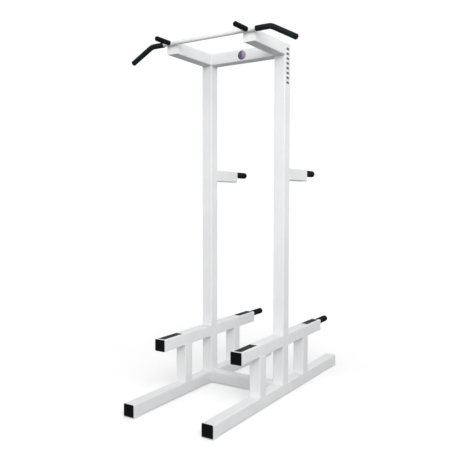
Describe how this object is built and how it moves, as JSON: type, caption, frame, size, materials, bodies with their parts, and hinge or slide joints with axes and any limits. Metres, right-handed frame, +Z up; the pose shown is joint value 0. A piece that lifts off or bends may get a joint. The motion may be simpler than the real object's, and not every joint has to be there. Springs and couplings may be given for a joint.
{
  "type": "power tower",
  "caption": "Free-standing power tower of white square steel tube with step rails, dip arms, a chin bar with dropped ends and black rubber grips.",
  "frame": {"origin": "on the floor, midway between the two uprights", "axes": "+Z up; +Y towards the back, the way the dip arms point; +X across, from the left side frame to the right"},
  "size_m": [1.1984, 1.686, 2.265],
  "materials": {
    "frame_paint": "satin white powder coat",
    "grip_rubber": "matte ribbed black rubber",
    "cap_plastic": "satin black moulded plastic",
    "tread_grit": "coarse black mineral grit",
    "badge_print": "printed vinyl",
    "stripe_print": "printed vinyl"
  },
  "bodies": {
    "root": {"base_crossbar": "frame_paint", "base_rail_cap_front_left": "cap_plastic", "base_rail_cap_front_right": "cap_plastic", "base_rail_cap_rear_left": "cap_plastic", "base_rail_cap_rear_right": "cap_plastic", "base_rail_left": "frame_paint", "base_rail_right": "frame_paint", "chin_bar": "frame_paint", "chin_grip_left": "grip_rubber", "chin_grip_right": "grip_rubber", "dip_arm_end_plate_left": "frame_paint", "dip_arm_end_plate_right": "frame_paint", "dip_arm_left": "frame_paint", "dip_arm_right": "frame_paint", "dip_grip_left": "grip_rubber", "dip_grip_right": "grip_rubber", "dip_handle_tube_left": "frame_paint", "dip_handle_tube_right": "frame_paint", "foot_plate_front_left": "frame_paint", "foot_plate_front_right": "frame_paint", "foot_plate_rear_left": "frame_paint", "foot_plate_rear_right": "frame_paint", "front_post_left": "frame_paint", "front_post_right": "frame_paint", "low_grip_left": "grip_rubber", "low_grip_right": "grip_rubber", "low_handle_tube_left": "frame_paint", "low_handle_tube_right": "frame_paint", "neutral_grip_left": "grip_rubber", "neutral_grip_right": "grip_rubber", "neutral_handle_tube_left": "frame_paint", "neutral_handle_tube_right": "frame_paint", "rear_post_left": "frame_paint", "rear_post_right": "frame_paint", "round_badge": "badge_print", "side_stripes": "stripe_print", "step_rail_cap_left": "cap_plastic", "step_rail_cap_right": "cap_plastic", "step_rail_end_plate_left": "frame_paint", "step_rail_end_plate_right": "frame_paint", "step_rail_front_left": "frame_paint", "step_rail_front_right": "frame_paint", "step_rail_rear_left": "frame_paint", "step_rail_rear_right": "frame_paint", "step_tread_front_left": "tread_grit", "step_tread_front_right": "tread_grit", "step_tread_rear_left": "tread_grit", "step_tread_rear_right": "tread_grit", "top_arm_end_plate_left": "frame_paint", "top_arm_end_plate_right": "frame_paint", "top_arm_left": "frame_paint", "top_arm_right": "frame_paint", "top_crossbar": "frame_paint", "upright_left": "frame_paint", "upright_right": "frame_paint", "upright_top_plate_left": "frame_paint", "upright_top_plate_right": "frame_paint"}
  },
  "joints": []
}
